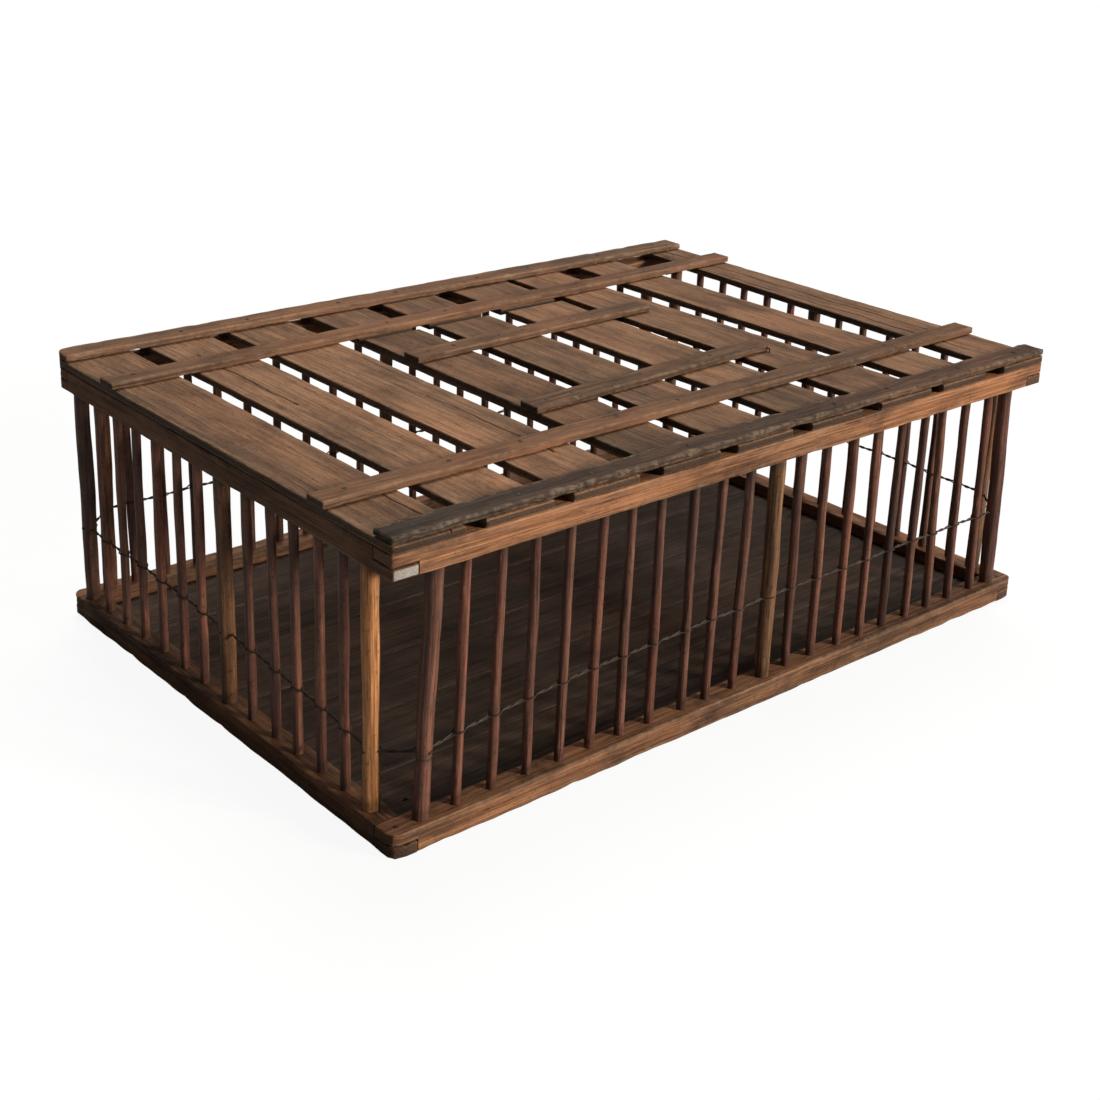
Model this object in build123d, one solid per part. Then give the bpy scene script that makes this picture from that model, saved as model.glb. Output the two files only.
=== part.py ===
from build123d import *
import os

# Poultry transport crate: two half-lapped frames joined by dowels and posts, a slatted deck with
# a hinged hatch, a boarded floor and a wire belt.  Millimetres, +Z up.  While it is being built,
# X runs from the left end, Y from the front face and Z from the ground.  The last step moves
# everything so that the origin is at the middle of the base.

# Overall size
LENGTH = 900.0
DEPTH = 616.0
FRAME_TOP = 291.0

# Frames
RAIL_WIDTH = 28.0
TOP_RAIL_HEIGHT = 24.0
BOTTOM_RAIL_HEIGHT = 25.0
RIGHT_RAIL_RELIEF = 14.0
RIGHT_RAIL_SHOULDER = 32.0
RIGHT_SOCKET_DEPTH = 6.5

# Dowels and posts
DOWEL_RADIUS = 4.75
POST_RADIUS = 8.0
SOCKET_DEPTH = 13.0
SOCKET_CLEARANCE = 0.05
DOWEL_END_GAP = 0.1
LONG_ROW_MARGIN = 44.0
LONG_ROW_STEPS = 21
FRONT_ROW_MID_POST = 11
BACK_ROW_MID_POST = 10
END_ROW_FRONT_MARGIN = 50.0
END_ROW_BACK_MARGIN = 40.0
END_ROW_STEPS = 13
LEFT_ROW_MID_POST = 6
RIGHT_ROW_MID_POST = 7

# Deck planks: left and right edge of each at the front and at the back, from the left end
PLANK_FRONTS = [
    (0.0, 76.0), (97.0, 173.0), (195.0, 275.0), (304.0, 379.0), (402.0, 480.0),
    (508.0, 584.0), (616.0, 695.0), (718.0, 791.0), (826.0, 900.0),
]
PLANK_BACKS = [
    (0.0, 76.0), (97.0, 173.0), (195.0, 275.0), (304.0, 379.0), (402.0, 480.0),
    (508.0, 593.0), (606.0, 676.0), (717.0, 779.0), (850.0, 900.0),
]
PLANK_THICKNESS = 8.5
HATCH_PLANKS = (3, 4, 5)
FRONT_STUB_END = 120.0
BACK_STUB_START = 492.0

# Battens
BATTEN_THICKNESS = 8.0
EDGE_BATTEN_WIDTH = 30.0
INNER_BATTEN_WIDTH = 27.0
INNER_BATTEN_OVERHANG = 3.0

# Hatch
HATCH_FRONT = 131.0
HATCH_BACK = 480.0
HATCH_LIFT = 0.5
HATCH_BATTEN_WIDTH = 28.0
HATCH_BATTEN_THICKNESS = 7.5
HATCH_BATTEN_LEFT = 300.0
HINGE_X = 648.0
STAPLE_WIRE_RADIUS = 0.82
HINGE_HOLE_RADIUS = 0.9
STAPLE_LEG_OFFSET = 3.0
STAPLE_LEG_DEPTH = 7.5

# Cross rails running front to back under the deck
CROSS_RAIL_LEFTS = {"cross_rail_left": 341.0, "cross_rail_right": 565.0}
CROSS_RAIL_WIDTH = 38.0
CROSS_RAIL_HEIGHT = 22.0
CROSS_RAIL_TONGUE = 12.0
CROSS_RAIL_HOUSING = 8.0

# Floor, let into a rabbet round the inside of the bottom frame
FLOOR_THICKNESS = 9.0
FLOOR_RABBET = 10.0
FLOOR_BOARDS = 6
FLOOR_GAP = 0.4

# Nails and wire
NAIL_SHANK_RADIUS = 1.2
NAIL_HEAD_RADIUS = 2.5
NAIL_HEAD_THICKNESS = 1.0
NAIL_CLEARANCE = 0.05
FLOOR_NAIL_RECESS = 0.3
WIRE_RADIUS = 0.8
WIRE_HEIGHT = 108.0
WIRE_CLEARANCE = 0.15
WIRE_CORNER_RADIUS = 6.0

# Levels worked out from the above
DECK_TOP = FRAME_TOP + PLANK_THICKNESS
BATTEN_TOP = DECK_TOP + BATTEN_THICKNESS
TOP_RAIL_BOTTOM = FRAME_TOP - TOP_RAIL_HEIGHT
HATCH_BATTEN_BOTTOM = DECK_TOP + HATCH_LIFT
HINGE_Z = HATCH_BATTEN_BOTTOM + HATCH_BATTEN_THICKNESS / 2
RABBET_TOP = FLOOR_THICKNESS + 0.2
ROW_INSET = RAIL_WIDTH / 2
ORIGIN = Pos(-LENGTH / 2, -DEPTH / 2, 0)


def block(x0, x1, y0, y1, z0, z1):
    """A box given by its limits."""
    size = Box(x1 - x0, y1 - y0, z1 - z0)
    return Pos((x0 + x1) / 2, (y0 + y1) / 2, (z0 + z1) / 2) * size


def rod(x, y, z0, z1, radius):
    """An upright round rod."""
    return Pos(x, y, (z0 + z1) / 2) * Cylinder(radius, z1 - z0)


# Rows of dowels and posts ---------------------------------------------------------------------

def spaced(first, last, steps):
    return [first + (last - first) * index / steps for index in range(steps + 1)]


def long_row(y):
    return [(x, y) for x in spaced(LONG_ROW_MARGIN, LENGTH - LONG_ROW_MARGIN, LONG_ROW_STEPS)]


def end_row(x):
    last = DEPTH - END_ROW_BACK_MARGIN
    return [(x, y) for y in spaced(END_ROW_FRONT_MARGIN, last, END_ROW_STEPS)]


def split_row(places, mid_post):
    """The three post places of a row, and the dowel places between them."""
    post_indexes = (0, mid_post, len(places) - 1)
    posts = [places[index] for index in post_indexes]
    dowels = [place for index, place in enumerate(places) if index not in post_indexes]
    return posts, dowels


ROWS = {
    "front": split_row(long_row(ROW_INSET), FRONT_ROW_MID_POST),
    "back": split_row(long_row(DEPTH - ROW_INSET), BACK_ROW_MID_POST),
    "left": split_row(end_row(ROW_INSET), LEFT_ROW_MID_POST),
    "right": split_row(end_row(LENGTH - ROW_INSET), RIGHT_ROW_MID_POST),
}
POST_NAMES = {
    "front": ("left", "middle", "right"),
    "back": ("left", "middle", "right"),
    "left": ("front", "middle", "back"),
    "right": ("front", "middle", "back"),
}


def socket_end(side):
    """The level where the upper sockets of a row end; the right top rail is relieved underneath."""
    if side == "right":
        return TOP_RAIL_BOTTOM + RIGHT_RAIL_RELIEF + RIGHT_SOCKET_DEPTH
    return TOP_RAIL_BOTTOM + SOCKET_DEPTH


def upright(side, place, radius):
    """A dowel or post that stands between its two blind sockets."""
    bottom = BOTTOM_RAIL_HEIGHT - SOCKET_DEPTH + DOWEL_END_GAP
    return rod(place[0], place[1], bottom, socket_end(side) - DOWEL_END_GAP, radius)


def sockets(side, z0, z1):
    posts, dowels = ROWS[side]
    holes = [rod(x, y, z0, z1, POST_RADIUS + SOCKET_CLEARANCE) for x, y in posts]
    holes += [rod(x, y, z0, z1, DOWEL_RADIUS + SOCKET_CLEARANCE) for x, y in dowels]
    return holes


# Nails ----------------------------------------------------------------------------------------

def nail(x, y, top, length, grow=0.0):
    """A nail driven downwards, its head flush with the wood.  grow gives its hole."""
    shank = rod(x, y, top - length - grow, top - NAIL_HEAD_THICKNESS / 2, NAIL_SHANK_RADIUS + grow)
    head = rod(x, y, top - NAIL_HEAD_THICKNESS, top + grow, NAIL_HEAD_RADIUS + grow)
    return shank + head


def floor_nail(x, y, length, grow=0.0):
    """A nail driven upwards from under the floor."""
    neck = FLOOR_NAIL_RECESS + NAIL_HEAD_THICKNESS / 2
    shank = rod(x, y, neck, length + grow, NAIL_SHANK_RADIUS + grow)
    base = -1.0 if grow else FLOOR_NAIL_RECESS
    head = rod(x, y, base, FLOOR_NAIL_RECESS + NAIL_HEAD_THICKNESS + grow, NAIL_HEAD_RADIUS + grow)
    return shank + head


EDGE_NAIL_LENGTH = 25.0
INNER_NAIL_LENGTH = 15.5
CORNER_NAIL_LENGTH = 20.0
FLOOR_NAIL_LENGTH = 20.0
FLOOR_NAIL_INSET = 24.0


def slant_y(line, x):
    """The front edge of a slanted batten at x; line is its front edge at the two ends of the crate."""
    return line[0] + (line[1] - line[0]) * x / LENGTH


FRONT_INNER_LINE = (96.0, 101.0)
BACK_INNER_LINE = (478.0, 498.0)
HATCH_FRONT_LINE = (163.0, 202.0)
HATCH_BACK_LINE = (365.0, 390.0)


def plank_edges(index, y):
    """Left and right edge of a plank at y; some planks taper."""
    share = y / DEPTH
    pairs = zip(PLANK_FRONTS[index], PLANK_BACKS[index])
    return [front + (back - front) * share for front, back in pairs]


def plank_middle(index):
    left, right = plank_edges(index, DEPTH / 2)
    return (left + right) / 2


def deck_nail_specs():
    """Place, top level and length of each nail in the fixed part of the deck."""
    specs = []
    for index in range(len(PLANK_FRONTS)):
        x = plank_middle(index) + (8 if index % 2 else -8)
        specs.append((x, EDGE_BATTEN_WIDTH / 2, BATTEN_TOP, EDGE_NAIL_LENGTH))
        specs.append((x, DEPTH - EDGE_BATTEN_WIDTH / 2, BATTEN_TOP, EDGE_NAIL_LENGTH))
        for line in (FRONT_INNER_LINE, BACK_INNER_LINE):
            y = slant_y(line, x) + INNER_BATTEN_WIDTH * 0.6
            specs.append((x, y, BATTEN_TOP, INNER_NAIL_LENGTH))
    return specs


def corner_nail_specs():
    specs = []
    for x in (ROW_INSET, LENGTH - ROW_INSET):
        for y in (ROW_INSET, DEPTH - ROW_INSET):
            specs.append((x, y, FRAME_TOP, CORNER_NAIL_LENGTH))
            specs.append((x, y, BOTTOM_RAIL_HEIGHT, CORNER_NAIL_LENGTH))
    return specs


def hatch_nail_specs():
    specs = []
    top = HATCH_BATTEN_BOTTOM + HATCH_BATTEN_THICKNESS
    for index in HATCH_PLANKS:
        for line in (HATCH_FRONT_LINE, HATCH_BACK_LINE):
            for step in (-18.0, 18.0):
                x = plank_middle(index) + step
                y = slant_y(line, x) + HATCH_BATTEN_WIDTH / 2
                specs.append((x, y, top, INNER_NAIL_LENGTH - 0.5))
    return specs


def floor_edges():
    """Front and back edge of each floor board."""
    first = RAIL_WIDTH - FLOOR_RABBET
    pitch = (DEPTH - 2 * first) / FLOOR_BOARDS
    return [(first + index * pitch, first + (index + 1) * pitch) for index in range(FLOOR_BOARDS)]


def floor_nail_places():
    places = []
    for front, back in floor_edges():
        for share in (0.3, 0.7):
            y = front + (back - front) * share
            places += [(FLOOR_NAIL_INSET, y), (LENGTH - FLOOR_NAIL_INSET, y)]
    return places


FRAME_NAIL_SPECS = deck_nail_specs() + corner_nail_specs()
HATCH_NAIL_SPECS = hatch_nail_specs()
FLOOR_NAIL_PLACES = floor_nail_places()


def drilled(piece, specs):
    """Cut the nail holes that reach a piece."""
    box = piece.bounding_box()
    holes = []
    for x, y, top, length in specs:
        inside = box.min.X < x < box.max.X and box.min.Y < y < box.max.Y
        if inside and top - length < box.max.Z and top > box.min.Z:
            holes.append(nail(x, y, top, length, NAIL_CLEARANCE))
    return piece - holes if holes else piece


def drilled_from_below(piece):
    box = piece.bounding_box()
    holes = []
    for x, y in FLOOR_NAIL_PLACES:
        if box.min.X < x < box.max.X and box.min.Y < y < box.max.Y:
            holes.append(floor_nail(x, y, FLOOR_NAIL_LENGTH, NAIL_CLEARANCE))
    return piece - holes if holes else piece


# Frames ---------------------------------------------------------------------------------------

def lapped_rail(side, z0, z1):
    """A rail of a frame.  Long rails keep the upper half at their ends, end rails the lower half."""
    middle = (z0 + z1) / 2
    if side in ("front", "back"):
        y0 = 0.0 if side == "front" else DEPTH - RAIL_WIDTH
        rail = block(0, LENGTH, y0, y0 + RAIL_WIDTH, z0, z1)
        rail -= block(-1, RAIL_WIDTH, y0 - 1, y0 + RAIL_WIDTH + 1, z0 - 1, middle)
        rail -= block(LENGTH - RAIL_WIDTH, LENGTH + 1, y0 - 1, y0 + RAIL_WIDTH + 1, z0 - 1, middle)
        return rail
    x0 = 0.0 if side == "left" else LENGTH - RAIL_WIDTH
    rail = block(x0, x0 + RAIL_WIDTH, 0, DEPTH, z0, z1)
    rail -= block(x0 - 1, x0 + RAIL_WIDTH + 1, -1, RAIL_WIDTH, middle, z1 + 1)
    rail -= block(x0 - 1, x0 + RAIL_WIDTH + 1, DEPTH - RAIL_WIDTH, DEPTH + 1, middle, z1 + 1)
    return rail


def bottom_rail(side):
    rail = lapped_rail(side, 0, BOTTOM_RAIL_HEIGHT)
    inset = RAIL_WIDTH - FLOOR_RABBET
    rail -= block(inset, LENGTH - inset, inset, DEPTH - inset, -1, RABBET_TOP)
    rail -= sockets(side, BOTTOM_RAIL_HEIGHT - SOCKET_DEPTH, BOTTOM_RAIL_HEIGHT + 1)
    return drilled_from_below(drilled(rail, corner_nail_specs()))


def top_rail(side):
    rail = lapped_rail(side, TOP_RAIL_BOTTOM, FRAME_TOP)
    if side == "right":
        x0 = LENGTH - RAIL_WIDTH - 1
        y1 = DEPTH - RIGHT_RAIL_SHOULDER
        relief = TOP_RAIL_BOTTOM + RIGHT_RAIL_RELIEF
        rail -= block(x0, LENGTH + 1, RIGHT_RAIL_SHOULDER, y1, TOP_RAIL_BOTTOM - 1, relief)
    rail -= sockets(side, TOP_RAIL_BOTTOM - 1, socket_end(side))
    if side in ("front", "back"):
        for left in CROSS_RAIL_LEFTS.values():
            rail -= cross_rail_blank(left)
    return drilled(rail, FRAME_NAIL_SPECS)


def cross_rail_blank(left):
    """A rail across the crate whose upper tongue drops into a housing in each long rail."""
    right = left + CROSS_RAIL_WIDTH
    tongue = RAIL_WIDTH - CROSS_RAIL_HOUSING
    body = block(left, right, RAIL_WIDTH, DEPTH - RAIL_WIDTH, FRAME_TOP - CROSS_RAIL_HEIGHT, FRAME_TOP)
    return body + block(left, right, tongue, DEPTH - tongue, FRAME_TOP - CROSS_RAIL_TONGUE, FRAME_TOP)


def floor_board(front, back):
    inset = RAIL_WIDTH - FLOOR_RABBET
    board = block(inset, LENGTH - inset, front + FLOOR_GAP / 2, back - FLOOR_GAP / 2, 0, FLOOR_THICKNESS)
    return drilled_from_below(board)


# Deck -----------------------------------------------------------------------------------------

def plank(index, front, back, lift=0.0, specs=FRAME_NAIL_SPECS):
    front_left, front_right = plank_edges(index, front)
    back_left, back_right = plank_edges(index, back)
    corners = [(front_left, front), (front_right, front), (back_right, back), (back_left, back)]
    outline = make_face(Polyline(*corners, close=True))
    board = Pos(0, 0, FRAME_TOP + lift) * extrude(outline, amount=PLANK_THICKNESS)
    return drilled(board, specs)


def edge_batten(front):
    batten = block(0, LENGTH, front, front + EDGE_BATTEN_WIDTH, DECK_TOP, BATTEN_TOP)
    return drilled(batten, FRAME_NAIL_SPECS)


def slanted_strip(line, width, x0, x1, z0, z1):
    """A strip that runs along X but not quite squarely."""
    corners = [
        (x0, slant_y(line, x0)), (x1, slant_y(line, x1)),
        (x1, slant_y(line, x1) + width), (x0, slant_y(line, x0) + width),
    ]
    outline = make_face(Polyline(*corners, close=True))
    return Pos(0, 0, z0) * extrude(outline, amount=z1 - z0)


def inner_batten(line):
    x0 = -INNER_BATTEN_OVERHANG
    x1 = LENGTH + INNER_BATTEN_OVERHANG
    batten = slanted_strip(line, INNER_BATTEN_WIDTH, x0, x1, DECK_TOP, BATTEN_TOP)
    return drilled(batten, FRAME_NAIL_SPECS)


# Hatch ----------------------------------------------------------------------------------------

def hinge_rod(y0, y1, radius):
    """A round rod along the hinge axis."""
    return Pos(HINGE_X, (y0 + y1) / 2, HINGE_Z) * Rot(90, 0, 0) * Cylinder(radius, y1 - y0)


def hatch_batten(line):
    """A batten with a rounded right end that turns on the hinge staple."""
    z0 = HATCH_BATTEN_BOTTOM
    z1 = z0 + HATCH_BATTEN_THICKNESS
    batten = slanted_strip(line, HATCH_BATTEN_WIDTH, HATCH_BATTEN_LEFT, HINGE_X, z0, z1)
    end = slanted_strip(line, HATCH_BATTEN_WIDTH, HINGE_X - 1, HINGE_X + 10, z0, z1)
    y = slant_y(line, HINGE_X)
    reach = HATCH_BATTEN_WIDTH + 10
    batten += end & hinge_rod(y - 10, y + reach, HATCH_BATTEN_THICKNESS / 2)
    batten -= hinge_rod(y - 10, y + reach, HINGE_HOLE_RADIUS)
    return drilled(batten, HATCH_NAIL_SPECS)


def staple_legs(line):
    """Y of the two legs of the staple that holds one hatch batten."""
    y = slant_y(line, HINGE_X)
    return y - STAPLE_LEG_OFFSET, y + HATCH_BATTEN_WIDTH + STAPLE_LEG_OFFSET


def staple(line, grow=0.0):
    """A bent wire through the batten's end, with its legs driven into the next plank."""
    radius = STAPLE_WIRE_RADIUS + grow
    front, back = staple_legs(line)
    wire = hinge_rod(front, back, radius)
    for y in (front, back):
        wire += rod(HINGE_X, y, DECK_TOP - STAPLE_LEG_DEPTH - grow, HINGE_Z, radius)
        wire += Pos(HINGE_X, y, HINGE_Z) * Sphere(radius)
    return wire


# Wire belt ------------------------------------------------------------------------------------

def wire_loop(inset):
    """A closed loop of wire round the crate, a given distance in from its faces."""
    path = RectangleRounded(LENGTH - 2 * inset, DEPTH - 2 * inset, WIRE_CORNER_RADIUS).wire()
    start = path @ 0
    section = Plane(origin=start, z_dir=path % 0) * Circle(WIRE_RADIUS)
    return Pos(LENGTH / 2, DEPTH / 2, WIRE_HEIGHT) * sweep(section, path=path)


# All nodes ------------------------------------------------------------------------------------

def build_nodes():
    nodes = {}
    for side in ROWS:
        nodes["bottom_rail_" + side] = bottom_rail(side)
        nodes["top_rail_" + side] = top_rail(side)
        posts, dowels = ROWS[side]
        for name, place in zip(POST_NAMES[side], posts):
            nodes["post_" + side + "_" + name] = upright(side, place, POST_RADIUS)
        nodes["dowels_" + side] = [upright(side, place, DOWEL_RADIUS) for place in dowels]

    for name, left in CROSS_RAIL_LEFTS.items():
        nodes[name] = cross_rail_blank(left)

    for index, (front, back) in enumerate(floor_edges()):
        nodes["floor_board_%d" % (index + 1)] = floor_board(front, back)

    for index in range(len(PLANK_FRONTS)):
        number = index + 1
        if index in HATCH_PLANKS:
            nodes["deck_stub_front_%d" % number] = plank(index, 0, FRONT_STUB_END)
            nodes["deck_stub_back_%d" % number] = plank(index, BACK_STUB_START, DEPTH)
            board = plank(index, HATCH_FRONT, HATCH_BACK, HATCH_LIFT, HATCH_NAIL_SPECS)
            nodes["hatch_board_%d" % number] = board
        else:
            nodes["deck_plank_%d" % number] = plank(index, 0, DEPTH)
    nodes["deck_plank_7"] -= [
        rod(HINGE_X, y, DECK_TOP - STAPLE_LEG_DEPTH - 0.1, DECK_TOP + 1, STAPLE_WIRE_RADIUS + 0.05)
        for line in (HATCH_FRONT_LINE, HATCH_BACK_LINE)
        for y in staple_legs(line)
    ]

    nodes["edge_batten_front"] = edge_batten(0)
    nodes["edge_batten_back"] = edge_batten(DEPTH - EDGE_BATTEN_WIDTH)
    nodes["inner_batten_front"] = inner_batten(FRONT_INNER_LINE)
    nodes["inner_batten_back"] = inner_batten(BACK_INNER_LINE)

    nodes["hatch_batten_front"] = hatch_batten(HATCH_FRONT_LINE)
    nodes["hatch_batten_back"] = hatch_batten(HATCH_BACK_LINE)
    nodes["hinge_staples"] = [staple(HATCH_FRONT_LINE), staple(HATCH_BACK_LINE)]

    wire_offset = POST_RADIUS + WIRE_RADIUS + WIRE_CLEARANCE
    nodes["wire_outer_strand"] = wire_loop(ROW_INSET - wire_offset)
    nodes["wire_inner_strand"] = wire_loop(ROW_INSET + wire_offset)

    frame_nails = [nail(*spec) for spec in FRAME_NAIL_SPECS]
    frame_nails += [floor_nail(x, y, FLOOR_NAIL_LENGTH) for x, y in FLOOR_NAIL_PLACES]
    nodes["frame_nails"] = frame_nails
    nodes["hatch_nails"] = [nail(*spec) for spec in HATCH_NAIL_SPECS]
    return nodes


def write_nodes(nodes):
    os.makedirs("parts", exist_ok=True)
    for name, shape in nodes.items():
        solids = shape if isinstance(shape, list) else [shape]
        moved = [ORIGIN * solid for piece in solids for solid in piece.solids()]
        whole = moved[0] if len(moved) == 1 else Compound(moved)
        whole.label = name
        export_step(whole, "parts/" + name + ".step")


write_nodes(build_nodes())
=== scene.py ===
import math
import random

import bmesh
import bpy
import numpy as np
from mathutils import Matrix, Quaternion, Vector


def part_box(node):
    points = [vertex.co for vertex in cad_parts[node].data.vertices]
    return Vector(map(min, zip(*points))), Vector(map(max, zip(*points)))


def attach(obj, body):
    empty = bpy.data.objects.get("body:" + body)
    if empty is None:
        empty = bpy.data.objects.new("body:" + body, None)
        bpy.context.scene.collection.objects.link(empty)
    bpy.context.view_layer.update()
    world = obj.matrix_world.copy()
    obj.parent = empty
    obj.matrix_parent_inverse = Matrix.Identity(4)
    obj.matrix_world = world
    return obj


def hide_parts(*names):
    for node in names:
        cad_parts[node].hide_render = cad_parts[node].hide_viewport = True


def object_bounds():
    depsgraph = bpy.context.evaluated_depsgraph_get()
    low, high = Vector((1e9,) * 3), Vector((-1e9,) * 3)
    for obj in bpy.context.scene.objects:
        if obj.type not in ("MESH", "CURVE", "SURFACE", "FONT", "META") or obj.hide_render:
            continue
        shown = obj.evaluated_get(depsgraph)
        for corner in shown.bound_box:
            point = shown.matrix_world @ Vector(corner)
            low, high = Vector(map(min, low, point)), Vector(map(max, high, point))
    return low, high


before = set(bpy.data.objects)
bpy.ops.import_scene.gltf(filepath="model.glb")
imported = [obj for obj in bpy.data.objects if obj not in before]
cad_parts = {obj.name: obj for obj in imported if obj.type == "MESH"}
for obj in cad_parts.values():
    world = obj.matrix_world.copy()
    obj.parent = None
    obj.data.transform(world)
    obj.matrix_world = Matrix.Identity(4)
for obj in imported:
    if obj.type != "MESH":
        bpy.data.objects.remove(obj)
CAD_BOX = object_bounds()

# The looks of a poultry transport crate: worn and stained timber, riven dowels and a twisted
# wire belt, each built round the CAD node of the same name.  Metres, in the frame of the CAD.

MM = 0.001
X_AXIS = Vector((1, 0, 0))
Y_AXIS = Vector((0, 1, 0))
Z_AXIS = Vector((0, 0, 1))
HALF_LENGTH = 450 * MM
HALF_DEPTH = 308 * MM

CAMERA_PLACE = (-1.1809, -1.3361, 0.8613)
CAMERA_AZIMUTH = -41.06
CAMERA_ELEVATION = 20.66
CAMERA_ROLL = 1.97
CAMERA_LENS = 55.83
CAMERA_SENSOR = 36.0
CAMERA_SHIFT_Y = -0.0909


# ---- Meshes ----

SHARP_FROM = math.radians(38)


class Form:
    """Points and faces of one piece, with what its material reads: the place in the grain,
    the marks (worn edge, end grain, stain and painted shade, greying) and the tone of the timber, which
    on some rails is painted shade."""

    def __init__(self):
        self.points = []
        self.grain = []
        self.marks = []
        self.tone = []
        self.faces = []
        self.bores = []
        self.count = 0

    def add(self, rings, grain, marks, tone=0.0, loop=False):
        """A solid from rings of points, (stations, points in a ring, 3); loop joins its ends."""
        stations, ring = rings.shape[:2]
        index = self.count + np.arange(stations * ring).reshape(stations, ring)
        along = np.vstack([index, index[:1]]) if loop else index
        beside = np.roll(along, -1, axis=1)
        quads = np.stack([along[:-1], beside[:-1], beside[1:], along[1:]], axis=-1)
        self.faces += quads.reshape(-1, 4).tolist()
        if not loop:
            self.faces += [index[0, ::-1].tolist(), index[-1].tolist()]
        self.points.append(rings.reshape(-1, 3))
        self.grain.append(grain.reshape(-1, 3))
        self.marks.append(marks.reshape(-1, 4))
        self.tone.append(np.full(stations * ring, tone))
        self.count += stations * ring
        return index

    def piece(self, name, material, body, slot, *nodes):
        """Makes the mesh object, which rides on a body and stands for CAD nodes."""
        points = np.clip(round_corners(np.concatenate(self.points)), CAD_BOX[0], CAD_BOX[1])
        mesh = bpy.data.meshes.new(name)
        mesh.from_pydata(points.tolist(), [], self.faces)
        layers = (
            ("grain", "FLOAT_VECTOR", "vector", np.concatenate(self.grain)),
            ("marks", "FLOAT_COLOR", "color", np.concatenate(self.marks)),
            ("tone", "FLOAT", "value", np.concatenate(self.tone)),
        )
        for title, kind, field, values in layers:
            layer = mesh.attributes.new(title, kind, "POINT")
            layer.data.foreach_set(field, values.astype(np.float32).ravel())
        self.clean(mesh)
        mesh.polygons.foreach_set("use_smooth", [True] * len(mesh.polygons))
        mesh.set_sharp_from_angle(angle=SHARP_FROM)
        mesh.materials.append(material)
        piece = bpy.data.objects.new(name, mesh)
        bpy.context.scene.collection.objects.link(piece)
        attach(piece, body)
        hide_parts(*nodes)

    def clean(self, mesh):
        """Opens the bores, each between the two points left for it, and turns faces outwards."""
        bm = bmesh.new()
        bm.from_mesh(mesh)
        bm.verts.ensure_lookup_table()
        for pair in [[bm.verts[index] for index in bore] for bore in self.bores]:
            rims = []
            for centre in pair:
                rims += [edge for face in centre.link_faces for edge in face.edges
                         if centre not in edge.verts]
            bmesh.ops.delete(bm, geom=pair, context="VERTS")
            bmesh.ops.bridge_loops(bm, edges=list(set(rims)))
        bmesh.ops.recalc_face_normals(bm, faces=bm.faces)
        bm.to_mesh(mesh)
        bm.free()


# Radius of each upright corner of the crate, by its way in X and in Y: below FOOT_TOP and above it
FOOT_ROUNDS = {(-1, -1): 15 * MM, (1, -1): 13 * MM, (1, 1): 12 * MM, (-1, 1): 15 * MM}
DECK_ROUNDS = {(-1, -1): 5 * MM, (1, -1): 6 * MM, (1, 1): 6 * MM, (-1, 1): 17 * MM}
FOOT_TOP = 30 * MM


def round_corners(points):
    """Draws the points at the crate's four upright corners in to a quarter circle."""
    points = points.copy()
    low = points[:, 2] < FOOT_TOP
    for rounds, chosen in ((FOOT_ROUNDS, low), (DECK_ROUNDS, ~low)):
        for (way_x, way_y), radius in rounds.items():
            centre = np.array([way_x * (HALF_LENGTH - radius), way_y * (HALF_DEPTH - radius)])
            offset = (points[:, :2] - centre) * (way_x, way_y)
            distance = np.linalg.norm(offset, axis=1)
            outside = chosen & (offset > 0).all(axis=1) & (distance > radius)
            share = (radius / np.maximum(distance, radius))[:, None]
            points[outside, :2] = centre + (offset * share * (way_x, way_y))[outside]
    return points


def waves(rng, size, *lengths):
    """A smooth value from 0 to size that wanders along a piece: a few sines, seeded."""
    terms = [(math.tau / (length * rng.uniform(0.8, 1.25)), rng.uniform(0, math.tau))
             for length in lengths]

    def value(w):
        total = sum(np.sin(rate * w + phase) for rate, phase in terms)
        return size * (0.5 + 0.5 * total / len(terms))

    return value


def bruises(rng, length, per_metre, size):
    """Scattered dents along an edge, as an extra corner radius."""
    dents = [(rng.uniform(0, length), rng.uniform(2, 9) * MM, size * rng.uniform(0.2, 1) ** 2)
             for _ in range(int(per_metre * length))]

    def value(w):
        total = np.zeros_like(w)
        for place, reach, depth in dents:
            total = np.maximum(total, depth * np.exp(-((w - place) / reach) ** 2))
        return total

    return value


BREAK_REACH = 0.1 * MM
CLOSEST_STATIONS = 0.08 * MM


def stations_along(length, step, ends, breaks):
    """Distances along a piece, closer at its rounded ends and doubled where its section steps."""
    round_angles = np.radians([0, 35, 65, 90])
    found = list(np.linspace(ends[0], length - ends[1], max(3, int(length / step) + 1)))
    found += list(ends[0] * (1 - np.cos(round_angles)))
    found += list(length - ends[1] * (1 - np.cos(round_angles)))
    for place in breaks:
        found += [place - BREAK_REACH, place + BREAK_REACH]
    found = sorted(found)
    kept = [found[0]]
    for w in found[1:]:
        if w - kept[-1] > CLOSEST_STATIONS:
            kept.append(w)
    return np.array(kept)


def end_inset(w, length, ends):
    """How far the sides draw in at distance w, so that both ends are rounded."""
    inset = np.zeros_like(w)
    for distance, reach in ((w, ends[0]), (length - w, ends[1])):
        share = np.clip(1 - distance / reach, 0, 1)
        inset = np.maximum(inset, reach * (1 - np.sqrt(1 - share ** 2)))
    return inset


ARC_STEPS = 3


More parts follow.
